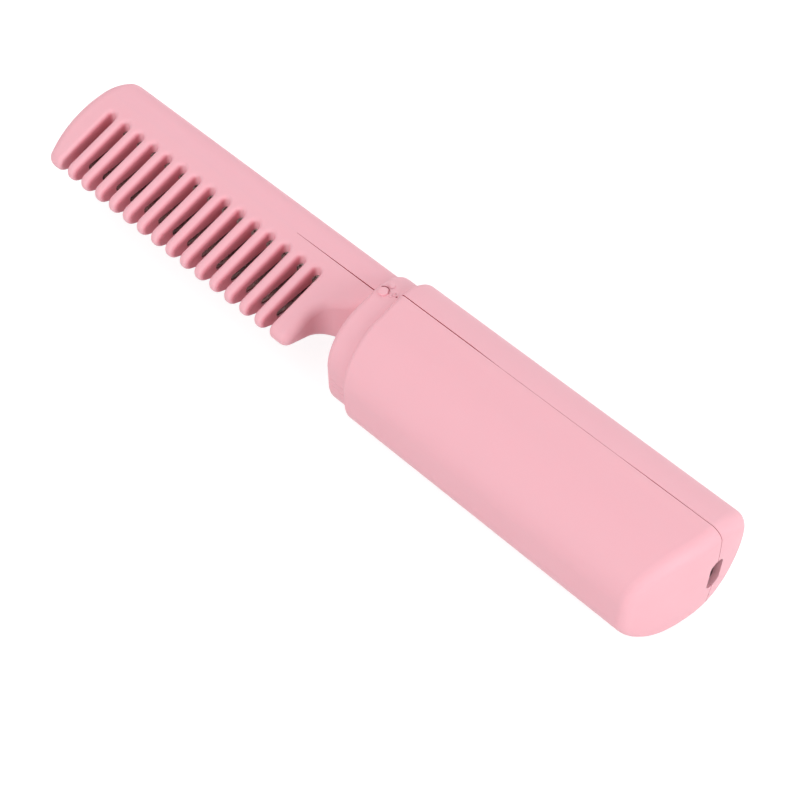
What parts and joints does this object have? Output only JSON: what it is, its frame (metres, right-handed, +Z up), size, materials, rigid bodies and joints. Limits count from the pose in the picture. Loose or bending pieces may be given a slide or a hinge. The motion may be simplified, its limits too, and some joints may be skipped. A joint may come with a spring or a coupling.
{
  "type": "hair straightening comb",
  "caption": "Cordless heated hair straightening comb: a slotted comb with a metal heating plate inside its teeth, on a round-backed battery handle with a button and charging inlet",
  "frame": {"origin": "under the middle of the object's bounding box, on the plane that it lies on", "axes": "+X runs from the comb's tip to the tail of the handle, +Y from the tooth tips to the back, +Z up from the broad side that it lies on"},
  "size_m": [0.18, 0.0316, 0.0289],
  "materials": {
    "shell_pink": "satin moulded ABS, warm pink",
    "cover_pink": "satin moulded ABS, warm pink",
    "button_pink": "satin moulded ABS, paler pink",
    "heater_aluminium": "die-cast aluminium, dark oxide",
    "ceramic": "white alumina",
    "film_amber": "amber polyimide film",
    "spring_steel": "spring steel",
    "bar_resin": "glass-filled heat-proof resin",
    "screw_steel": "zinc-plated steel",
    "fuse_tin": "tinned brass case",
    "sensor_glass": "glass bead",
    "wire_red": "silicone sleeve",
    "wire_white": "silicone sleeve",
    "barrier_mica": "pressed mica",
    "cell_sleeve": "shrink sleeve",
    "nickel": "nickel strip",
    "foam": "closed-cell foam",
    "board_green": "solder mask",
    "part_black": "moulded package",
    "lamp_clear": "clear epoxy",
    "guide_clear": "clear acrylic",
    "can_aluminium": "drawn can",
    "port_steel": "stamped stainless steel"
  },
  "bodies": {
    "case": {"main_shell": "shell_pink", "back_cover": "cover_pink", "heating_comb": "heater_aluminium", "heating_element": "ceramic", "insulating_films": "film_amber", "pressure_spring": "spring_steel", "clamp_bar": "bar_resin", "clamp_screws": "screw_steel", "thermal_fuse": "fuse_tin", "temperature_sensor": "sensor_glass", "heater_wires": "wire_red", "sensor_wires": "wire_white", "heat_barrier": "barrier_mica", "battery_cell": "cell_sleeve", "front_contact_tab": "nickel", "rear_contact_tab": "nickel", "cell_pad": "foam", "control_board": "board_green", "board_screws": "screw_steel", "tactile_switch": "part_black", "light_guide": "guide_clear", "indicator_lamps": "lamp_clear", "control_chips": "part_black", "boost_coil": "part_black", "capacitors": "can_aluminium", "receptacle_shell": "port_steel", "receptacle_tongue": "part_black"},
    "button": {"power_button": "button_pink"},
    "plunger": {"switch_plunger": "part_black"}
  },
  "joints": [
    {"name": "button_press", "type": "slide", "parent": "case", "child": "button", "axis": [0, -1, 0], "range_m": [0, 0.00035], "stiffness_N_per_m": 4500},
    {"name": "plunger_press", "type": "slide", "parent": "case", "child": "plunger", "axis": [0, -1, 0], "range_m": [0, 0.00035]}
  ],
  "couplings": [
    {"joint": "plunger_press", "follows": "button_press", "ratio": 1}
  ]
}
